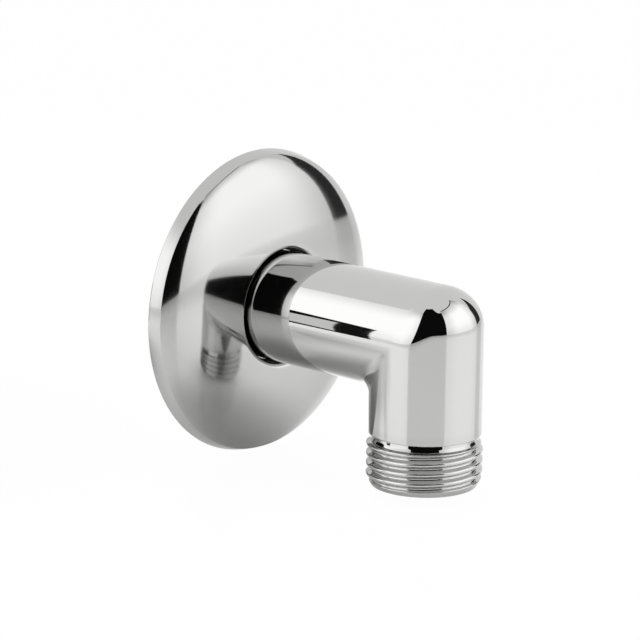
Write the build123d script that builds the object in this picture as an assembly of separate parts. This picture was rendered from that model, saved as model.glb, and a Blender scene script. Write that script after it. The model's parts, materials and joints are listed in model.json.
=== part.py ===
from build123d import *
from math import acos, degrees, radians, sqrt, tan
import os

# Wall outlet elbow for a shower hose: a brass elbow, a loose pressed flange and the ring that holds it on the tube.
# The wall is the plane Y = 0 and the tube's axis lies along Y at Z = 0. The tube leaves the wall along -Y and
# turns down to its outlet. Sizes are in millimetres.

# Elbow
outlet_offset = 41.4  # wall plane to the outlet's axis
outlet_drop = 26.5  # tube's axis to the outlet's end face
inlet_reach = 14.0  # wall plane to the inlet's end face
inlet_shoulder = 1.5  # plain tube that passes the wall plane
corner_inset = 2.0  # straight run past the crossing of the axes, before the outer corner rounds
crotch_fillet = 1.6  # inner corner under the tube
shoulder_round = 0.25  # edge where the plain tube stops at a thread

# Half-inch pipe thread on both ends, held as its crest cylinder
thread_crest_radius = 10.4775
thread_proud = 0.3275  # crests outside the plain tube
thread_depth = 1.162
thread_flank_angle = 27.5
outlet_thread_length = 9.7  # shoulder to end face
relief_width = 1.0  # floor of the groove beside the shoulder
relief_depth = 0.1  # groove floor below the thread's root
lead_length = 1.8  # chamfer that starts the nut
lead_depth = 0.95

# Waterway
wall_under_relief = 2.2
mouth_chamfer = 0.5

# Wall flange
flange_radius = 28.2
skirt_height = 0.8  # wall to the foot of the dome's ellipse
dome_rise = 7.4
rim_lean = 0.7  # rim leans in by this from the wall to the edge of the dome
sheet = 0.9
lip_bend = 0.1  # inside of the rolled lip
flange_clearance = 0.1  # hole over the thread that it has to pass
groove_depth = 1.1  # ring's groove in the neck
neck_land = 0.2  # straight neck on each side of the groove's bead

# Ring in the flange's neck
ring_clearance = 0.05  # to the tube and to its groove


def dome_height(radius, edge, rise):
    """Height of a quarter-ellipse dome over the wall at a radius."""
    return skirt_height + rise * sqrt(1 - (radius / edge) ** 2)


# Sizes that follow
tube_radius = thread_crest_radius - thread_proud
relief_radius = thread_crest_radius - thread_depth - relief_depth
waterway_radius = relief_radius - wall_under_relief
outlet_shoulder = outlet_drop - outlet_thread_length
crossing = Pos(0, -outlet_offset, 0)
inlet_way = Plane(origin=(0, inlet_shoulder, 0), z_dir=(0, 1, 0))
outlet_way = Plane(origin=(0, -outlet_offset, -outlet_shoulder), z_dir=(0, 0, -1))

hole_radius = thread_crest_radius + flange_clearance
ring_inner_radius = tube_radius + ring_clearance
ring_outer_radius = hole_radius + groove_depth - ring_clearance
ring_centre_radius = (ring_inner_radius + ring_outer_radius) / 2
ring_section = (ring_outer_radius - ring_inner_radius) / 2
groove_section = ring_section + ring_clearance
bead_section = groove_section + sheet
bead_reach = sqrt(bead_section**2 - (hole_radius + sheet - ring_centre_radius) ** 2)
lip_radius = lip_bend + sheet
ring_height = dome_height(hole_radius, flange_radius, dome_rise) - lip_radius - neck_land - bead_reach
neck_end = ring_height - bead_reach - neck_land
section_plane = Plane(origin=(0, 0, 0), x_dir=(1, 0, 0), z_dir=(0, 0, -1))  # radius, then height off the wall


def turned(outline):
    """A solid of revolution about Z from points of radius and height, closed along the axis."""
    foot, top = outline[0][1], outline[-1][1]
    section = make_face(Polyline((0, foot), *outline, (0, top), close=True))
    return revolve(Plane.XZ * section, Axis.Z)


def threaded_end(length):
    """The end beyond a shoulder: relief groove, flank, crest cylinder and lead chamfer."""
    flank = (thread_crest_radius - relief_radius) * tan(radians(thread_flank_angle))
    return turned([
        (relief_radius, 0),
        (relief_radius, relief_width),
        (thread_crest_radius, relief_width + flank),
        (thread_crest_radius, length - lead_length),
        (thread_crest_radius - lead_depth, length),
    ])


def bored_run(length):
    """The waterway from the crossing of the axes out to a mouth with a small chamfer."""
    return turned([
        (waterway_radius, 0),
        (waterway_radius, length - mouth_chamfer),
        (waterway_radius + mouth_chamfer, length),
    ])


def rounded_turn():
    """Tube and leg meeting in a corner that is square in outline, rounded outside and filleted inside.

    The inner fillet is made on a ball corner. The outer corner is then added: both cylinders run on past the
    crossing by the inset, and the segment of the tube above them is turned through a right angle.
    """
    whole = 4 * (tube_radius + corner_inset)
    tube = Pos(0, inlet_shoulder, 0) * extrude(Plane.XZ * Circle(tube_radius), outlet_offset + inlet_shoulder)
    leg = crossing * extrude(Plane.XY * Circle(tube_radius), -outlet_shoulder)
    ball_turn = tube + leg + crossing * Sphere(tube_radius)
    ball_turn = ball_turn.fillet(crotch_fillet, ball_turn.edges().filter_by(GeomType.ELLIPSE))

    tube_on = extrude(Plane.XZ * Circle(tube_radius), outlet_offset + tube_radius)
    leg_on = crossing * extrude(Plane.XY * Circle(tube_radius), tube_radius)
    outward = (Align.CENTER, Align.MAX, Align.MIN)
    beside_tube = crossing * Box(whole, corner_inset, whole, align=outward)
    beside_leg = crossing * Box(whole, whole, corner_inset, align=outward)
    above_inset = Pos(0, corner_inset) * Rectangle(whole, whole, align=(Align.CENTER, Align.MIN))
    segment = Plane.XZ.offset(outlet_offset + corner_inset) * (Circle(tube_radius) & above_inset)
    turn_axis = Axis((0, -outlet_offset - corner_inset, corner_inset), (1, 0, 0))
    both = tube_on & leg_on
    return ball_turn + (both & beside_tube) + (both & beside_leg) + revolve(segment, turn_axis, 90)


def elbow_body():
    """The brass elbow with a thread on each end and the waterway through it."""
    body = rounded_turn()
    inlet_edge = body.edges().filter_by(GeomType.CIRCLE).sort_by(Axis.Y)[-1]
    outlet_edge = body.edges().filter_by(GeomType.CIRCLE).sort_by(Axis.Z)[0]
    body = body.fillet(shoulder_round, [inlet_edge, outlet_edge])
    body += inlet_way.location * threaded_end(inlet_reach - inlet_shoulder)
    body += outlet_way.location * threaded_end(outlet_thread_length)
    to_inlet = Plane(origin=(0, -outlet_offset, 0), z_dir=inlet_way.z_dir)
    to_outlet = Plane(origin=(0, -outlet_offset, 0), z_dir=outlet_way.z_dir)
    body -= to_inlet.location * bored_run(outlet_offset + inlet_reach)
    body -= to_outlet.location * bored_run(outlet_drop)
    return body - crossing * Sphere(waterway_radius)


def under_dome(hole, edge, rise, bend):
    """The area under a quarter-ellipse dome with a leaning rim, with the corner at the hole rounded."""
    brow = edge - rim_lean
    first = degrees(acos(brow / edge))
    span = degrees(acos(hole / edge)) - first
    area = make_face([
        Line((hole, 0), (edge, 0)),
        Line((edge, 0), (brow, dome_height(brow, edge, rise))),
        EllipticalCenterArc((0, skirt_height), edge, rise, start_angle=first, arc_size=span),
        Line((hole, dome_height(hole, edge, rise)), (hole, 0)),
    ])
    return fillet(area.vertices().sort_by(Axis.Y)[-1], bend)


def wall_flange():
    """The pressed flange: domed sheet, lip rolled in at the hole, and a short neck with a bead for the ring."""
    front = under_dome(hole_radius, flange_radius, dome_rise, lip_radius)
    back = under_dome(hole_radius + sheet, flange_radius - sheet, dome_rise - sheet, lip_bend)
    below_neck = Pos(hole_radius, 0) * Rectangle(sheet, neck_end, align=(Align.MIN, Align.MIN))
    ring_at = Pos(ring_centre_radius, ring_height)
    outside_hole = Pos(hole_radius, ring_height) * Rectangle(
        2 * bead_section, 2 * bead_section, align=(Align.MIN, Align.CENTER)
    )
    bead = ring_at * Circle(bead_section) & outside_hole
    section = front - back - below_neck + bead - ring_at * Circle(groove_section)
    return revolve(section_plane * section, Axis.Y)


def flange_o_ring():
    """The rubber ring that sits in the neck's groove and grips the tube."""
    section = Pos(ring_centre_radius, ring_height) * Circle(ring_section)
    return revolve(section_plane * section, Axis.Y)


os.makedirs("parts", exist_ok=True)
for make_piece in (elbow_body, wall_flange, flange_o_ring):
    export_step(make_piece(), f"parts/{make_piece.__name__}.step")
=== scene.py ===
# %% [markdown]
# # Wall outlet elbow
#
# A hand shower needs a place where the water leaves the wall. This fitting is that place: a chromed brass elbow that
# screws into the wall, turns the water down and ends in a thread for the hose. A loose domed flange slides along its
# tube and hides the hole in the tiles.
#
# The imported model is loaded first, as a fixed frame. Everything that follows is measured from it, so that each finer
# surface lies where the solid is.

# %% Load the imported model
import json
import math

import bpy
import numpy as np
from mathutils import Matrix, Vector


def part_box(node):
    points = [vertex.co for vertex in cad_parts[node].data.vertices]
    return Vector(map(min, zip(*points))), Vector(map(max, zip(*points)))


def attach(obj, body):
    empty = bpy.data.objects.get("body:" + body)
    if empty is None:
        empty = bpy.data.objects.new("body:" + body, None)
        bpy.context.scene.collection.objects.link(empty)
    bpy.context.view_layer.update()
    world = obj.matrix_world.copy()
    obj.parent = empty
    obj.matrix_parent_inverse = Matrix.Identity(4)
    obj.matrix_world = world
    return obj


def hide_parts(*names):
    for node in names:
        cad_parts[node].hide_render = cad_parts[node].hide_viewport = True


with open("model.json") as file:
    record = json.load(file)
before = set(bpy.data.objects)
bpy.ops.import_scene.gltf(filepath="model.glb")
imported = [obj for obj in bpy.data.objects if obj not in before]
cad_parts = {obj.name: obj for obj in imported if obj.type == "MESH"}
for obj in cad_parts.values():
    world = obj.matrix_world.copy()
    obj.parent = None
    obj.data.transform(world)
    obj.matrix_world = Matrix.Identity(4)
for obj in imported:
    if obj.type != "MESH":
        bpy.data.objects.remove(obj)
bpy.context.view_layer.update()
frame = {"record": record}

# %% [markdown]
# ## Camera
#
# The photograph was taken from some distance with a long lens, so its lines hardly converge. The elbow's outlines give
# the angle: 48 degrees to the left of the tube and 14 degrees above it. Three turns and a distance place the camera.
# A camera looks along its own minus Z axis, so the third column of its matrix points back from the object.

# %% Camera
def camera_axes(azimuth, elevation, roll):
    """Right, up and back of a camera: back from the two angles, right level with the floor, both then rolled."""
    back = np.array([
        math.cos(elevation) * math.sin(azimuth),
        -math.cos(elevation) * math.cos(azimuth),
        math.sin(elevation),
    ])
    level = np.array([math.cos(azimuth), math.sin(azimuth), 0.0])
    upright = np.cross(back, level)
    right = math.cos(roll) * level + math.sin(roll) * upright
    return right, np.cross(back, right), back


MM = 0.001
VIEW_AZIMUTH, VIEW_ELEVATION, VIEW_ROLL = (math.radians(angle) for angle in (-48.275, 14.081, 0.796))
VIEW_AIM = np.array([-3.506, -19.138, 0.123]) * MM
VIEW_DISTANCE = 649.2 * MM
right, up, back = camera_axes(VIEW_AZIMUTH, VIEW_ELEVATION, VIEW_ROLL)
stand = VIEW_AIM + VIEW_DISTANCE * back
camera = bpy.data.objects.new("camera", bpy.data.cameras.new("camera"))
camera.data.sensor_width = 36.0
camera.data.lens = 202.5
camera.matrix_world = Matrix([*np.column_stack([right, up, back, stand]), (0, 0, 0, 1)])
bpy.context.scene.collection.objects.link(camera)
bpy.context.scene.camera = camera
print("camera stands at", np.round(stand / MM, 1), "mm")

# %% [markdown]
# ## From a grid of points to a mesh
#
# Chrome shows every facet, because a mirror doubles each change of angle. So the pieces are dense grids whose points
# come straight from formulas. Each of the three pieces is a ring in the wide sense: its section closes on itself and
# it also closes round its axis. One helper therefore serves them all. It has no seam and no pole, and the sign of the
# enclosed volume shows that the faces point outwards.

# %% One helper for every piece
def closed_grid(name, points, **attributes):
    """A smooth mesh from points[i, j] in millimetres; cell (i, j) joins its corners, and both directions wrap round."""
    rows, columns = points.shape[:2]
    index = np.arange(rows * columns).reshape(rows, columns)
    ahead = np.roll(index, -1, axis=0)
    corners = [index, ahead, np.roll(ahead, -1, axis=1), np.roll(index, -1, axis=1)]
    quads = np.stack(corners, axis=-1).reshape(-1, 4)
    flat = points.reshape(-1, 3) * MM

    mesh = bpy.data.meshes.new(name)
    mesh.vertices.add(len(flat))
    mesh.vertices.foreach_set("co", flat.ravel())
    mesh.loops.add(quads.size)
    mesh.loops.foreach_set("vertex_index", quads.ravel())
    mesh.polygons.add(len(quads))
    mesh.polygons.foreach_set("loop_start", np.arange(0, quads.size, 4))
    mesh.polygons.foreach_set("use_smooth", np.ones(len(quads), dtype=bool))
    mesh.update(calc_edges=True)
    for key, values in attributes.items():
        layer = mesh.attributes.new(key, "FLOAT", "POINT")
        layer.data.foreach_set("value", np.broadcast_to(values, (rows, columns)).ravel().astype(np.float32))

    a, b, c, d = (flat[quads[:, k]] for k in range(4))
    volume = np.sum(np.cross(a, b) * c + np.cross(a, c) * d) / 6
    piece = bpy.data.objects.new(name, mesh)
    bpy.context.scene.collection.objects.link(piece)
    print(f"{name}: {2 * len(quads)} triangles, {volume / MM**3:.0f} cubic millimetres")
    return piece


# %% [markdown]
# ## Edges that catch the light
#
# No machined edge is truly sharp. A small round on each edge gives the thin bright lines that tell the eye where a
# face ends. The rounds are put into the section, before it is carried round the axis. A point just outside each arc
# keeps the shading of the flat face next to it flat.

# %% A section with rounded corners
def unit(vectors):
    """Vectors divided by their own length."""
    return vectors / np.linalg.norm(vectors, axis=-1, keepdims=True)


def rounded_path(corners, radii, steps=6):
    """Corner points joined by straight runs, each inner corner replaced by an arc that touches both runs.

    The arc of radius r touches the runs at r / tan(h) from the corner, where h is half the corner's angle, and its
    centre lies at r / sin(h) on the bisector. Its points are spread evenly by blending the two end spokes with sines.
    """
    corners, radii = np.asarray(corners, float), np.asarray(radii, float)[:, None]
    here = corners[1:-1]
    into, out = unit(corners[:-2] - here), unit(corners[2:] - here)
    half = 0.5 * np.arccos(np.sum(into * out, axis=1))[:, None]
    reach = radii / np.tan(half)
    centre = here + unit(into + out) * radii / np.sin(half)
    first, last = here + into * reach - centre, here + out * reach - centre
    sweep = math.pi - 2 * half[:, None]
    share = np.linspace(0, 1, steps + 1)[None, :, None]
    arcs = (np.sin((1 - share) * sweep) * first[:, None] + np.sin(share * sweep) * last[:, None]) / np.sin(sweep)
    arcs = arcs + centre[:, None]
    outside = 0.3 * radii
    rows = [(here + into * (reach + outside))[:, None], arcs, (here + out * (reach + outside))[:, None]]
    return np.vstack([corners[:1], np.concatenate(rows, axis=1).reshape(-1, 2), corners[-1:]])


print("a rounded right angle has", len(rounded_path([(0, 0), (1, 0), (1, 1)], [0.5])), "points")

# %% [markdown]
# ## The hose thread
#
# Hoses all over the world screw onto the same half-inch pipe thread: 20.955 mm over its crests and 14 turns to the
# inch. Its flanks lean 27.5 degrees and both crest and root are rounded. Plating fills the roots and polishing rubs the
# crests, so the thread in the photograph is shallower than the standard's. Rounds of a fifth of the pitch give that
# look, and the depth follows from them.
#
# The solid model holds only the crest cylinder, because a helix is heavy to cut. Here it costs nothing: the radius is a
# function of two parameters, the place along the axis and the angle round it, and adding the angle to the phase winds
# it into a right-hand screw.

# %% Thread as a radius over length and angle
THREAD_CREST = next(
    mount["dims"]["r_mm"] for mount in frame["record"]["mounts"] if mount["name"] == "outlet_thread"
)
PITCH = 25.4 / 14
FLANK = math.radians(27.5)
THREAD_ROUND = 0.2 * PITCH
THREAD_DEPTH = PITCH / 2 / math.tan(FLANK) - 2 * THREAD_ROUND * (1 / math.sin(FLANK) - 1)
TURNS = 216
turn = np.linspace(0, 2 * math.pi, TURNS, endpoint=False)


def thread_cut(phase):
    """Depth below the crest over a phase in turns: an arc at the crest, a straight flank, the same arc at the root.

    The distance from the crest is folded to half a pitch. The arc ends where its slope equals the flank's, at the
    round times the cosine of the flank angle; the root is the crest turned over.
    """
    off = np.abs(phase - np.round(phase)) * PITCH
    arc_end = THREAD_ROUND * math.cos(FLANK)
    arc_depth = THREAD_ROUND * (1 - math.sin(FLANK))
    from_root = PITCH / 2 - off
    crest = THREAD_ROUND - np.sqrt(np.maximum(THREAD_ROUND**2 - off**2, 0))
    root = THREAD_DEPTH - THREAD_ROUND + np.sqrt(np.maximum(THREAD_ROUND**2 - from_root**2, 0))
    flank = arc_depth + (off - arc_end) / math.tan(FLANK)
    return np.where(off < arc_end, crest, np.where(from_root < arc_end, root, flank))


print(f"thread: {2 * THREAD_CREST:.3f} mm over the crests, pitch {PITCH:.3f} mm, {THREAD_DEPTH:.3f} mm deep")

# %% [markdown]
# ## A threaded end
#
# The plain tube stops at a small rounded shoulder. Behind it the cutter leaves a narrow groove, so that the hose's nut
# can screw right up. The groove's floor slopes up towards the first crest, first gently and then more. That slope
# mirrors the dark of the room, which is the black band under the shoulder in the photograph. At the far end a chamfer
# leads the nut on. This outline is the envelope of the turned blank, and the finished surface is whichever of envelope
# and thread lies nearer to the axis, blended a little where they cross as a real edge is.

# %% Shoulder, groove, thread and chamfer
TUBE = 10.15
GROOVE = THREAD_CREST - 1.36
GROOVE_FLOOR, GROOVE_RISE = math.tan(math.radians(14)), math.tan(math.radians(34))
FLOOR_END, RISE_END, CREST_START = 0.75, 1.3, 1.5
STEP_START, STEP_END, THREAD_START = -1.0, 0.6, 0.66
SHOULDER_ROUND, STEP_ROUND, CUTTER_ROUND, LEAD_ROUND = 0.25, 0.15, 0.1, 0.4
LEAD_LENGTH, LEAD_DEPTH = 1.8, 0.95
BORE = next(mount["dims"]["r_mm"] for mount in frame["record"]["mounts"] if mount["name"] == "outlet_bore")
MOUTH, MOUTH_END = 0.5, 1.4
FACE_INSET = 0.25
BLEND = 0.06
EDGE = 0.12


def nearer(a, b):
    """The smaller of two radii with their crossing smoothed: the mean, less half a root of the squared difference."""
    return 0.5 * (a + b - np.sqrt((a - b) ** 2 + BLEND**2))


def threaded_end(length, steps_per_pitch, crest_at, hand):
    """Distances past the shoulder and radii over them and the turn, from the plain tube to the inside of the mouth.

    crest_at is the distance of a crest at turn zero, and hand is how that distance grows with each turn in pitches.
    """
    step_in = rounded_path(
        [(STEP_START, TUBE), (0, TUBE), (0, GROOVE), (STEP_END, GROOVE + STEP_END * GROOVE_FLOOR)],
        [SHOULDER_ROUND, STEP_ROUND],
    )
    floor_top = GROOVE + FLOOR_END * GROOVE_FLOOR
    rise_top = floor_top + (RISE_END - FLOOR_END) * GROOVE_RISE
    blank = rounded_path(
        [(0, GROOVE), (FLOOR_END, floor_top), (RISE_END, rise_top), (CREST_START, THREAD_CREST),
         (length - LEAD_LENGTH, THREAD_CREST), (length, THREAD_CREST - LEAD_DEPTH)],
        [CUTTER_ROUND, CUTTER_ROUND, CUTTER_ROUND, LEAD_ROUND],
    )
    run = np.arange(THREAD_START, length - EDGE, PITCH / steps_per_pitch)
    phase = (run[:, None] - crest_at) / PITCH - hand * turn / (2 * math.pi)
    cut = nearer(np.interp(run, *blank.T)[:, None], THREAD_CREST - thread_cut(phase))
    lean = np.linspace(0, math.pi / 2, 6)[:, None]
    rim = cut[-1] - EDGE * (1 - np.cos(lean))
    face = rounded_path(
        [(length, GROOVE - FACE_INSET), (length, BORE + MOUTH), (length - MOUTH, BORE), (length - MOUTH_END, BORE)],
        [CUTTER_ROUND, CUTTER_ROUND],
    )
    wide = np.ones((1, TURNS))
    distance = np.concatenate([step_in[:, 0], run, length - EDGE + EDGE * np.sin(lean[:, 0]), face[:, 0]])
    radius = np.concatenate([step_in[:, 1:] * wide, cut, rim, face[:, 1:] * wide])
    return distance, radius


print(f"groove: {TUBE - GROOVE:.2f} mm under the tube, first full crest {CREST_START} mm past the shoulder")

# %% [markdown]
# ## Tube, corner and leg
#
# The reflections show how this corner was shaped. Its outline is squarer than a ball: tube and leg both run straight on
# a little past the crossing of their axes before the outer corner rounds. Towards the sides the polishing has taken
# that straight run away, until the corner is as round there as a ball. The inner corner is a small fillet.
#
# Each lengthwise line of the skin stays at its own distance from the middle plane. Seen from the side it is an L with a
# rounded corner. A fan of rays from a point under the crotch cuts all those lines once, and each ray gives one ring.

# %% Rings along the elbow
REACH = -1000 * next(mount["pos_m"][1] for mount in frame["record"]["mounts"] if mount["name"] == "outlet_thread")
CORNER_INSET = 2.3
INSET_ENDS, INSET_FULL = 70, 42
CROTCH = 1.6
SIDE_POLISH = 2.5
EVEN_FAN = 0.55


def ease(value, start, end):
    """A smooth step from 0 at start to 1 at end: 3 s^2 - 2 s^3 over the share s of the way."""
    s = np.clip((value - start) / (end - start), 0, 1)
    return s * s * (3 - 2 * s)


def tube_rings(along, radius):
    """Rings about the tube: x = r sin u, y = along, z = r cos u."""
    x, y, z = np.broadcast_arrays(radius * np.sin(turn), along[:, None], radius * np.cos(turn))
    return np.stack([x, y, z], axis=-1)


def leg_rings(along, radius):
    """Rings about the leg: x = r sin u, y = -reach - r cos u, z = along. Turn zero stays on the outside of the bend."""
    x, y, z = np.broadcast_arrays(radius * np.sin(turn), -REACH - radius * np.cos(turn), along[:, None])
    return np.stack([x, y, z], axis=-1)


def bend_rings(radius, inset, crotch, share):
    """Rings through the corner, one for each share from -1 at the tube to 1 at the leg.

    The line at turn u keeps x = r sin u. Its L has both legs at a = r cos u from the axes, and its corner is an arc:
    outside of radius a - inset, inside of radius -crotch * cos u, widened where the sides were polished. A ray from
    the point q under the crotch meets the level run, the drop or, between them, the arc, by solving a quadratic.
    """
    x, a = radius * np.sin(turn), (radius * np.cos(turn))[None, :]
    q = radius + crotch
    angle = (0.25 * math.pi * (1 + EVEN_FAN * share + (1 - EVEN_FAN) * share**3))[:, None]
    across, rise = np.sin(angle), np.cos(angle)
    to_level, to_drop = (a + q) / rise, (a + q) / across
    inner_round = -crotch * np.cos(turn) * (1 + SIDE_POLISH * np.sin(turn) ** 2)
    curve = np.where(a > 0, a - inset, inner_round)
    centre = a - curve
    offset = -q - centre
    along = offset * (across + rise)
    to_arc = -along + np.sqrt(np.maximum(along**2 - 2 * offset**2 + curve**2, 0))
    on_level, on_drop = to_level * across - q <= centre, to_drop * rise - q <= centre
    ray = np.where(on_level, to_level, np.where(on_drop, to_drop, to_arc))
    return np.stack([x + 0 * ray, -REACH - (ray * across - q), ray * rise - q], axis=-1)


off_top = np.degrees(np.arccos(np.abs(np.cos(turn))))
inset_round = CORNER_INSET * ease(off_top, INSET_ENDS, INSET_FULL)
print(f"leg's axis {REACH:.1f} mm from the wall, corner's inset {CORNER_INSET} mm on top and 0 at the sides")

# %% [markdown]
# ## The elbow in one closed surface
#
# The rings go from the inlet's mouth over the outside to the outlet's mouth and back through the waterway, so that the
# elbow is one watertight skin like the real casting. The outlet's shoulder lies where the photograph has it, 0.3 mm
# lower than in the solid. Two attributes travel with the points: how deep a point lies in a thread, and whether it lies
# in the waterway. The finishes read them later.

# %% Elbow
elbow_low, elbow_high = (np.array(corner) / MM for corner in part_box("elbow_body"))
INLET_SHOULDER = 1.5
OUTLET_SHOULDER = 17.1
FRONT_CREST = 1.5
OUTLET_STEPS, INLET_STEPS = 24, 12
TUBE_GAP, BORE_GAP = 2.0, 2.5
BORE_CROTCH = 1.0

outlet_past, outlet_radius = threaded_end(
    -elbow_low[2] - OUTLET_SHOULDER, OUTLET_STEPS, FRONT_CREST + PITCH * VIEW_AZIMUTH / (2 * math.pi), -1
)
inlet_past, inlet_radius = threaded_end(elbow_high[1] - INLET_SHOULDER, INLET_STEPS, 0.0, 1)
outside_turn = np.linspace(-1, 1, 98)[1:-1]
inside_turn = np.linspace(1, -1, 42)[1:-1]
bend_room, bore_room = TUBE + CROTCH, BORE + BORE_CROTCH
runs = [
    tube_rings(INLET_SHOULDER + inlet_past[::-1], inlet_radius[::-1]),
    tube_rings(np.linspace(INLET_SHOULDER - TUBE_GAP, bend_room - REACH, 14), TUBE),
    bend_rings(TUBE, inset_round, CROTCH, outside_turn),
    leg_rings(np.linspace(-bend_room, -OUTLET_SHOULDER + TUBE_GAP, 5), TUBE),
    leg_rings(-OUTLET_SHOULDER - outlet_past, outlet_radius),
    leg_rings(np.linspace(elbow_low[2] + BORE_GAP, -bore_room, 6), BORE),
    bend_rings(BORE, 0.0, BORE_CROTCH, inside_turn),
    tube_rings(np.linspace(bore_room - REACH, elbow_high[1] - BORE_GAP, 16), BORE),
]
skin = np.concatenate(runs)
ring_count = [len(run) for run in runs]
run_of = np.repeat(np.arange(len(runs)), ring_count)
ring_radius = np.concatenate([
    inlet_radius[::-1], np.full((sum(ring_count[1:4]), TURNS), TUBE), outlet_radius,
    np.full((sum(ring_count[5:]), TURNS), BORE),
])
thread_root = np.where(
    np.isin(run_of, [0, 4])[:, None], np.clip((THREAD_CREST - ring_radius) / THREAD_DEPTH, 0, 1), 0
)
in_waterway = np.clip((BORE + MOUTH + 0.05 - ring_radius) / MOUTH, 0, 1)
elbow = closed_grid("elbow_skin", skin, thread_root=thread_root, waterway=in_waterway)
print("elbow spans", np.round(skin.min((0, 1)), 2), "to", np.round(skin.max((0, 1)), 2), "mm")

# %% [markdown]
# ## The wall flange
#
# The flange is pressed from sheet: a rim that leans in a little from the wall, a flat dome, and a lip rolled in round
# the hole. Behind the lip a short neck carries a bead, and the bead's inside is the seat of the rubber ring. The dome
# is part of a quarter ellipse, and the lip is an arc that touches it. Where two runs meet in a cut edge, both stop a
# little short, which leaves the tiny chamfer of a deburred edge.

# %% Section of the flange
RIM = max(corner[0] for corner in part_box("wall_flange")) / MM
SKIRT, DOME_RISE, SHEET, LIP_BEND = 0.8, 7.4, 0.9, 0.1
RIM_LEAN, RIM_BOW = 0.7, 0.44
LIP_STEPS = 26
HOLE_CLEARANCE, RING_CLEARANCE = 0.1, 0.05
NECK_LAND = 0.2
HOLE = THREAD_CREST + HOLE_CLEARANCE
ring_low, ring_high = (np.array(corner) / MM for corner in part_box("flange_o_ring"))
RING_HEIGHT = -(ring_low[1] + ring_high[1]) / 2
RING_SECTION = (ring_high[1] - ring_low[1]) / 2
RING_CENTRE = ring_high[0] - RING_SECTION
SEAT, BEAD = RING_SECTION + RING_CLEARANCE, RING_SECTION + RING_CLEARANCE + SHEET
DEBURR = 0.04


def straight(start, end):
    """A run between two cut edges: two points near each end, both short of it."""
    start, end = np.array(start, float), np.array(end, float)
    length = np.linalg.norm(end - start)
    places = np.array([DEBURR, 2 * DEBURR, length - 2 * DEBURR, length - DEBURR])[:, None]
    return start + (end - start) / length * places


def bulge(centre, radius, side, steps):
    """The part of a circle outside the vertical line r = side, from its lower crossing to its upper one."""
    half = math.acos((side - centre[0]) / radius) - DEBURR / radius
    angle = np.linspace(-half, half, steps)
    return np.stack([centre[0] + radius * np.cos(angle), centre[1] + radius * np.sin(angle)], axis=-1)


def dome_and_lip(edge, rise, hole, bend, dome_steps, lip_steps):
    """A quarter ellipse from the rim's brow up to a lip of radius bend that touches it and the hole's wall.

    The lip's centre lies one bend inside the ellipse, along its normal, and one bend outside the hole. Sliding along
    the ellipse until both hold gives the parameter where the dome stops.
    """
    slide = np.linspace(0.3, math.pi / 2 - 1e-3, 4000)
    inward = unit(np.stack([rise * np.cos(slide), edge * np.sin(slide)], axis=-1))
    centres = np.stack([edge * np.cos(slide), SKIRT + rise * np.sin(slide)], axis=-1) - bend * inward
    touch = np.interp(-(hole + bend), -centres[:, 0], slide)
    centre = np.array([hole + bend, np.interp(touch, slide, centres[:, 1])])
    t = np.linspace(math.acos(1 - RIM_LEAN / edge), touch, dome_steps)
    dome = np.stack([edge * np.cos(t), SKIRT + rise * np.sin(t)], axis=-1)
    start = math.atan2(edge * math.sin(touch), rise * math.cos(touch))
    angle = np.linspace(start, math.pi, lip_steps)[1:]
    lip = centre + bend * np.stack([np.cos(angle), np.sin(angle)], axis=-1)
    return np.concatenate([dome, lip])


def leaning_rim(edge, brow, steps):
    """The rim from the wall to the brow: at the share s of its height the radius has fallen by a share of the lean.

    That share is (1 - bow) * s + bow * s^2, so the rim bends in a little more towards the brow.
    """
    s = np.linspace(DEBURR, 1, steps)
    fall = (1 - RIM_BOW) * s + RIM_BOW * s**2
    return np.stack([edge - (edge - brow[0]) * fall, brow[1] * s], axis=-1)


outer = dome_and_lip(RIM, DOME_RISE, HOLE, SHEET + LIP_BEND, 150, LIP_STEPS)
outer = np.concatenate([leaning_rim(RIM, outer[0], 30), outer[1:]])
inner = dome_and_lip(RIM - SHEET, DOME_RISE - SHEET, HOLE + SHEET, LIP_BEND, 60, 8)
seat = bulge((RING_CENTRE, RING_HEIGHT), SEAT, HOLE, 24)
bead = bulge((RING_CENTRE, RING_HEIGHT), BEAD, HOLE + SHEET, 28)
neck_end = bead[0, 1] - NECK_LAND
section = np.concatenate([
    outer,
    straight(outer[-1], (HOLE, seat[-1, 1]))[2:],
    seat[::-1],
    straight((HOLE, seat[0, 1]), (HOLE, neck_end)),
    straight((HOLE, neck_end), (HOLE + SHEET, neck_end)),
    straight((HOLE + SHEET, neck_end), (HOLE + SHEET, bead[0, 1])),
    bead,
    inner[::-1],
    straight(inner[0], (RIM - SHEET, 0))[2:],
    straight((RIM - SHEET, 0), (RIM, 0)),
])
print(f"flange section: {len(section)} points, lip's top {section[:, 1].max():.3f} mm off the wall")

# %% [markdown]
# ## The section carried round the tube
#
# A pressed flange is round, so its section turned once about the tube gives the whole sheet. Two attributes follow
# the section. One marks the back, which nobody polishes. The other marks the recess from the lip down into the neck,
# which is painted dark as painted shade.

# %% Flange
def turned(profile, steps):
    """A section of radius and height carried round the tube's axis: x = r sin u, y = -height, z = r cos u."""
    u = np.linspace(0, 2 * math.pi, steps, endpoint=False)
    r, height = profile[:, :1], profile[:, 1:]
    return np.stack([r * np.sin(u), -height + 0 * u, r * np.cos(u)], axis=-1)


order = np.arange(len(section))[:, None]
FOOT_POINTS = 6
DARK_STARTS, DARK_FULL, DARK_FADES, BACK_FULL = 11, 17, 4, 6
lip_start, neck_stop, back_start = len(outer) - LIP_STEPS + 1, len(section) - len(inner) - FOOT_POINTS, len(outer)
# Painted shade: these points in the lip's recess, down into the neck, get a dark painted colour.
recess = ease(order, lip_start + DARK_STARTS, lip_start + DARK_FULL)
recess = recess * (1 - ease(order, neck_stop - DARK_FADES, neck_stop))
behind = ease(order, back_start, back_start + BACK_FULL)
flange = closed_grid("flange_sheet", turned(section, 240), behind=behind, recess=recess)

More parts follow.
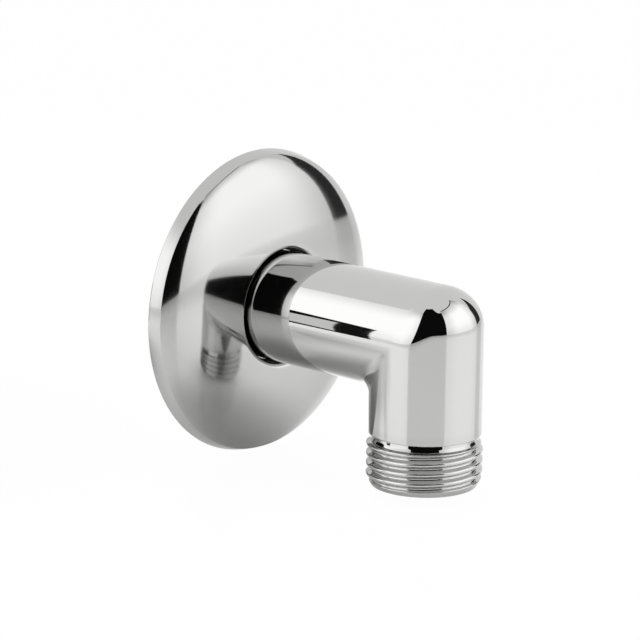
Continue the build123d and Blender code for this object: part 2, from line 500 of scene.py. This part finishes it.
# %% [markdown]
# ## The rubber ring
#
# The ring is moulded in two halves, so a fine line of flash runs round its inside and outside. A bump of a few
# hundredths of a millimetre on the radius of the section draws it.

# %% Ring
FLASH, FLASH_WIDTH = 0.02, 0.12
section_angle = np.linspace(0, 2 * math.pi, 48, endpoint=False)
flash = FLASH * np.exp(-((np.sin(section_angle) / FLASH_WIDTH) ** 2))
ring_radius_round = RING_SECTION - FLASH + flash
ring_section = np.stack([
    RING_CENTRE + ring_radius_round * np.cos(section_angle), RING_HEIGHT + ring_radius_round * np.sin(section_angle)
], axis=-1)
ring = closed_grid("ring_moulding", turned(ring_section, 160))

# %% [markdown]
# ## Pieces take the place of the solids
#
# Each surface stands for its solid, which stays in the simulation for contact. The elbow stays with the wall, and the
# flange carries its ring along the tube.

# %% Places in the frame
for piece, node, body, finish in (
    (elbow, "elbow_body", "elbow", "polished_chrome"),
    (flange, "wall_flange", "flange", "flange_chrome"),
    (ring, "flange_o_ring", "flange", "ring_rubber"),
):
    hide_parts(node)
    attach(piece, body)
    print(piece.name, "stands for", node, "on", body)

# %% [markdown]
# ## Writing finishes as sums
#
# A finish is a network of nodes, but a sum is easier to read than a network. The small class below wraps one output of
# a node. Adding or multiplying two of them adds a Math node, and one method makes every other kind of node.

# %% Sockets that can be added and multiplied
class Wire:
    """One output of a node in a material. Sums of wires and numbers become Math nodes."""

    def __init__(self, tree, socket=None):
        self.tree, self.socket = tree, socket

    def node(self, kind, settings, inputs, output=0):
        """A new node: its settings first, then numbers, colours or wires for its inputs, by name or place."""
        new = self.tree.nodes.new(kind)
        for key, value in settings.items():
            setattr(new, key, value)
        for key, value in inputs.items():
            if isinstance(value, Wire):
                self.tree.links.new(value.socket, new.inputs[key])
            else:
                new.inputs[key].default_value = value
        return Wire(self.tree, new.outputs[output] if len(new.outputs) else None)

    def math(self, operation, *terms):
        return self.node("ShaderNodeMath", {"operation": operation}, dict(enumerate(terms)))

    def __add__(self, other):
        return self.math("ADD", self, other)

    __radd__ = __add__

    def __mul__(self, other):
        return self.math("MULTIPLY", self, other)

    __rmul__ = __mul__

    def mix(self, dark, light):
        """A colour between two others, by this wire from 0 to 1."""
        settings = {"data_type": "RGBA"}
        return self.node("ShaderNodeMix", settings, {0: self, 6: dark, 7: light}, output=2)


def finish(name, *pieces):
    """An empty material on each of the pieces, as a wire to start sums from."""
    material = bpy.data.materials.new(name)
    material.use_nodes = True
    material.node_tree.nodes.clear()
    for piece in pieces:
        piece.data.materials.append(material)
    return Wire(material.node_tree)


def place(wire):
    """The point's own place on its piece, in metres."""
    return wire.node("ShaderNodeTexCoord", {}, {}, output="Object")


def speckle(wire, size, detail=2.0):
    """Noise from 0 to 1 with blotches of about the given size in millimetres."""
    return wire.node("ShaderNodeTexNoise", {}, {"Vector": place(wire), "Scale": 1 / (size * MM), "Detail": detail})


def stored(wire, attribute):
    """A value that the mesh carries in its points."""
    return wire.node("ShaderNodeAttribute", {"attribute_name": attribute}, {}, output="Fac")


def ripple(wire, strength, depth, height):
    """A normal that follows a height, as deep as the given depth in millimetres."""
    inputs = {"Strength": strength, "Distance": depth * MM, "Height": height}
    return wire.node("ShaderNodeBump", {}, inputs, output="Normal")


print("finishes are written with", ", ".join(tool.__name__ for tool in (finish, place, speckle, stored, ripple)))

# %% [markdown]
# ## Bright chrome on the elbow
#
# Chrome plating is a mirror with a grey tint. It is never quite even: buffing leaves a faint haze in patches and the
# plating follows the brass under it in very shallow waves. Deep in the thread the chrome is painted a little darker, as
# painted shade in the roots. The waterway isn't plated at all and shows mottled, drilled brass.

# %% Elbow finish
# CHROME_ROOT_SHADE is painted shade: the chrome is painted darker the deeper a point lies in the thread.
CHROME, CHROME_ROOT_SHADE = (0.60, 0.602, 0.594, 1), (0.53, 0.53, 0.523, 1)
BRASS_DARK, BRASS_LIGHT = (0.62, 0.42, 0.17, 1), (0.74, 0.54, 0.27, 1)
chrome = finish("bright_chrome", elbow)
haze = speckle(chrome, 7.0) * 0.6 + speckle(chrome, 1.1) * 0.4
root = stored(chrome, "thread_root")
way = stored(chrome, "waterway")
chrome_face = chrome.node("ShaderNodeBsdfPrincipled", {}, {
    "Base Color": way.mix(root.mix(CHROME, CHROME_ROOT_SHADE), speckle(chrome, 0.5).mix(BRASS_DARK, BRASS_LIGHT)),
    "Metallic": 1.0,
    "Roughness": 0.015 + 0.03 * haze + 0.24 * way,
    "Normal": ripple(chrome, 0.02, 0.2, speckle(chrome, 9.0, 0.0)),
})
chrome.node("ShaderNodeOutputMaterial", {}, {"Surface": chrome_face})
print("finish: bright_chrome on", elbow.name)

# %% [markdown]
# ## Softer chrome on the flange
#
# The flange is plated sheet. Its mirror is a little softer than the elbow's, because pressing leaves a fine grain that
# buffing doesn't take out. Its back is plated but never buffed. The recess of the lip is painted dark, as painted
# shade, and draws the black line round the hole.

# %% Flange finish
SHEET_CHROME, SHEET_BACK = (0.54, 0.542, 0.535, 1), (0.45, 0.45, 0.445, 1)
# PAINTED_LIP_SHADE is painted shade: a dark colour painted inside the lip's recess round the tube.
PAINTED_LIP_SHADE = (0.13, 0.127, 0.12, 1)
sheet_chrome = finish("sheet_chrome", flange)
grain = speckle(sheet_chrome, 10.0) * 0.5 + speckle(sheet_chrome, 0.6) * 0.5
hidden = stored(sheet_chrome, "behind")
shade_in_lip = stored(sheet_chrome, "recess")
sheet_face = sheet_chrome.node("ShaderNodeBsdfPrincipled", {}, {
    "Base Color": shade_in_lip.mix(hidden.mix(SHEET_CHROME, SHEET_BACK), PAINTED_LIP_SHADE),
    "Metallic": 1.0,
    "Roughness": 0.055 + 0.05 * grain + 0.25 * hidden + 0.12 * shade_in_lip,
    "Normal": ripple(sheet_chrome, 0.02, 0.2, speckle(sheet_chrome, 6.0, 1.0)),
})
sheet_chrome.node("ShaderNodeOutputMaterial", {}, {"Surface": sheet_face})
print("finish: sheet_chrome on", flange.name)

# %% [markdown]
# ## Rubber
#
# The ring is black rubber with a dusting of talc that keeps it from sticking in the bag. It is almost hidden, but it
# shows when the flange is turned over.

# %% Ring finish
RUBBER, DUSTY_RUBBER = (0.02, 0.02, 0.021, 1), (0.06, 0.06, 0.06, 1)
rubber = finish("ring_rubber", ring)
dust = speckle(rubber, 0.8, 4.0)
rubber_face = rubber.node("ShaderNodeBsdfPrincipled", {}, {
    "Base Color": dust.mix(RUBBER, DUSTY_RUBBER),
    "Roughness": 0.45 + 0.25 * dust,
    "Normal": ripple(rubber, 0.2, 0.1, speckle(rubber, 0.15)),
})
rubber.node("ShaderNodeOutputMaterial", {}, {"Surface": rubber_face})
print("finish: ring_rubber on", ring.name)

# %% [markdown]
# ## The studio is half of the finish
#
# Chrome has hardly a colour of its own: what the eye takes for its shape is the room that it mirrors. So the room is
# built as a photographer would build it, from plain screens far from the object. Overhead is a pale grey ceiling. A
# white screen stands on the left and another one at the front right. The dark between them draws the crisp black
# shapes that make metal look like metal. A narrow dark gap on the far right draws the flange's tapering crescent, and
# the front screen's dark top bar draws a hairline round the corner's highlight.
#
# All screens are parts of one sphere, given by bearings from the front to the right and by heights over the horizon,
# both in degrees. Each point of a screen carries its own brightness, so a screen can fade towards its edges as cloth
# lit by a lamp does. The camera doesn't see the screens; only the chrome does.

# %% Screens on a sphere
scene = bpy.context.scene
scene.view_settings.view_transform = "Standard"
SKY = 1400.0
CEILING, BLACK, BAR, RIGHT_DARK = 0.92, 0.005, 0.06, 0.035
BEARINGS, HEIGHTS = 73, 49
LOW, SCREEN_TOP = -3, 58
LEFT_START, LEFT_END = -153, -84.5
FRONT_START, FRONT_END = -10, 68
RIGHT_START, RIGHT_END = 66, 87


def set_up(name, points, glow):
    """A shining stage piece from a grid of points in millimetres, open at its edges. Only mirrors see it."""
    rows, columns = points.shape[:2]
    index = np.arange(rows * columns).reshape(rows, columns)
    quads = np.stack([index[:-1, :-1], index[1:, :-1], index[1:, 1:], index[:-1, 1:]], axis=-1).reshape(-1, 4)
    mesh = bpy.data.meshes.new(name)
    mesh.from_pydata(points.reshape(-1, 3) * MM, [], quads)
    layer = mesh.attributes.new("glow", "FLOAT", "POINT")
    layer.data.foreach_set("value", np.broadcast_to(glow, (rows, columns)).ravel().astype(np.float32))
    piece = bpy.data.objects.new(name, mesh)
    scene.collection.objects.link(piece)
    light = finish(name, piece)
    shine = light.node("ShaderNodeEmission", {}, {"Color": stored(light, "glow"), "Strength": 1.0})
    light.node("ShaderNodeOutputMaterial", {}, {"Surface": shine})
    piece.visible_camera = False
    print(f"studio: {name}, brightness {np.min(glow):.2f} to {np.max(glow):.2f}")
    return piece


def patch(first, last, low, high):
    """Bearings and heights over a grid. The top may be a list of heights, one for each bearing."""
    side, share = np.linspace(first, last, BEARINGS)[:, None], np.linspace(0, 1, HEIGHTS)
    return np.broadcast_arrays(side, low + (np.reshape(high, (-1, 1)) - low) * share)


def sky(side, height, distance=SKY):
    """Points in a direction: x = d cos h sin b, y = -d cos h cos b, z = d sin h."""
    b, h = np.radians(side), np.radians(height)
    return distance * np.stack([np.cos(h) * np.sin(b), -np.cos(h) * np.cos(b), np.sin(h)], axis=-1)


tent = set_up("studio_ceiling", sky(*patch(-180, 180, LOW, 90), SKY + 100), CEILING)
tent.data.materials[0].cycles.emission_sampling = "NONE"

side, height = patch(LEFT_START, LEFT_END, LOW, SCREEN_TOP)
left_glow = 1.64 - 0.72 * ease(height, 31, SCREEN_TOP) - 0.27 * ease(height, 16, -4)
left_glow = left_glow * (1 - 0.15 * ease(side, -100, -84))
set_up("studio_left_screen", sky(side, height), left_glow)

gap_tops = 73 - 17 * ease(np.linspace(LEFT_END, FRONT_START, BEARINGS), -45, -15)
set_up("studio_front_gap", sky(*patch(LEFT_END, FRONT_START, LOW, gap_tops)), BLACK)

side, height = patch(FRONT_START, FRONT_END, LOW, SCREEN_TOP)
front_glow = 1.65 - 0.42 * ease(side, 20, FRONT_START) - 0.45 * ease(side, 46, FRONT_END)
front_glow = front_glow - 0.65 * ease(height, 38, SCREEN_TOP) - 0.27 * ease(height, 20, LOW)
set_up("studio_front_screen", sky(side, height), front_glow)
set_up("studio_front_bar", sky(*patch(FRONT_START, FRONT_END, SCREEN_TOP + 0.5, SCREEN_TOP + 2.5)), BAR)

side, height = patch(RIGHT_START, RIGHT_END, LOW - 1, np.linspace(20, 38, BEARINGS))
set_up("studio_right_gap", sky(side, height), RIGHT_DARK + 0.13 * ease(side, 73, 67))

# %% [markdown]
# ## A slip beside the set
#
# One small thing stood close to the fitting on its left, and the tube mirrors it as a short streak: a light slip of
# paper with a dark edge. Two little cards bring the streak back, the light one just in front of the dark one.

# %% Slip of paper
def slip(back_end, front_end, back_heights, front_heights, x):
    """An upright card along the tube: its two ends, and the low and the high corner of each."""
    ends = (back_end, back_heights), (front_end, front_heights)
    return np.array([[(x, y, z) for z in heights] for y, heights in ends], float)


set_up("studio_slip_edge", slip(59, 29.5, (-16, 24), (-11, 21), -90.5), 0.01)
set_up("studio_slip", slip(57, 39, (-10.5, 13), (-9.5, 17), -90.0), 0.85)

# %% [markdown]
# ## Floor and background
#
# The photograph shows the fitting against plain white, on a table with a smooth lacquered top. Looked at steeply such a
# top is a pale matt sheet, and at a low angle it mirrors the screens, so the leg's chrome shows the studio a second
# time in soft upright bands. Far off the lacquer is duller and its painted glow dimmer. The floor glows a little of its
# own, as painted light, and where the fitting keeps the light off its colour and glow are painted darker, as painted
# shadow: at the flange's foot, under the leg and behind the flange. The world is white. For the camera the floor is
# white too, except for a faint soft shadow, partly painted.

# %% World and floor
world = bpy.data.worlds.new("studio")
world.use_nodes = True
backdrop = world.node_tree.nodes["Background"].inputs
backdrop["Color"].default_value = (1, 1, 1, 1)
backdrop["Strength"].default_value = 1.0
scene.world = world

FLOOR, FLOOR_HALF = -28.25, 1200.0
FOOT, LEG_FOOT, SHADOW_SIDE = (-9, -13, FLOOR), (-3, -REACH, FLOOR), (-48, 60, FLOOR)
WHITE_SHARE = 0.97
floor_corners = FLOOR_HALF * np.array([(-1, -1, 0), (1, -1, 0), (1, 1, 0), (-1, 1, 0)]) + (0, 0, FLOOR)
floor_mesh = bpy.data.meshes.new("studio_floor")
floor_mesh.from_pydata(floor_corners * MM, [], [(0, 1, 2, 3)])
floor = bpy.data.objects.new("studio_floor", floor_mesh)
scene.collection.objects.link(floor)
pale = finish("pale_floor", floor)
seen = pale.node("ShaderNodeLightPath", {}, {}, output="Is Camera Ray")


def grey(level):
    """An even grey as a colour."""
    return (level, level, level, 1)


def off_foot(wire, foot, near, far):
    """A smooth step from 0 to 1 over the distance in millimetres from a place on the floor."""
    ends = {0: place(wire), 1: np.array(foot) * MM}
    away = wire.node("ShaderNodeVectorMath", {"operation": "DISTANCE"}, ends, output="Value")
    limits = {"Value": away, "From Min": near * MM, "From Max": far * MM}
    return wire.node("ShaderNodeMapRange", {"interpolation_type": "SMOOTHSTEP"}, limits)


# Painted shadow: the floor's colour and glow are painted darker at the flange's foot, under the leg and behind the
# flange.
outside_painted_shadow = off_foot(pale, FOOT, 4, 34) * off_foot(pale, LEG_FOOT, -6, 20) * off_foot(pale, SHADOW_SIDE, 36, 70)
# Painted light: the floor glows of its own, dimmer in the painted shadow and far off.
painted_floor_glow = outside_painted_shadow.mix(grey(0.13), grey(0.29))
lacquer = pale.node("ShaderNodeBsdfPrincipled", {}, {
    "Base Color": outside_painted_shadow.mix(grey(0.58), grey(0.86)),
    "Roughness": 0.2 + 0.2 * off_foot(pale, FOOT, 100, 300),
    "Emission Color": off_foot(pale, FOOT, 90, 400).mix(painted_floor_glow, grey(0.07)),
    "Emission Strength": 1.0,
})
bright = pale.node("ShaderNodeEmission", {}, {"Color": grey(1.0), "Strength": 1.0})
floor_face = pale.node("ShaderNodeMixShader", {}, {0: seen * WHITE_SHARE, 1: lacquer, 2: bright})
pale.node("ShaderNodeOutputMaterial", {}, {"Surface": floor_face})
print("studio: floor at", FLOOR, "mm")
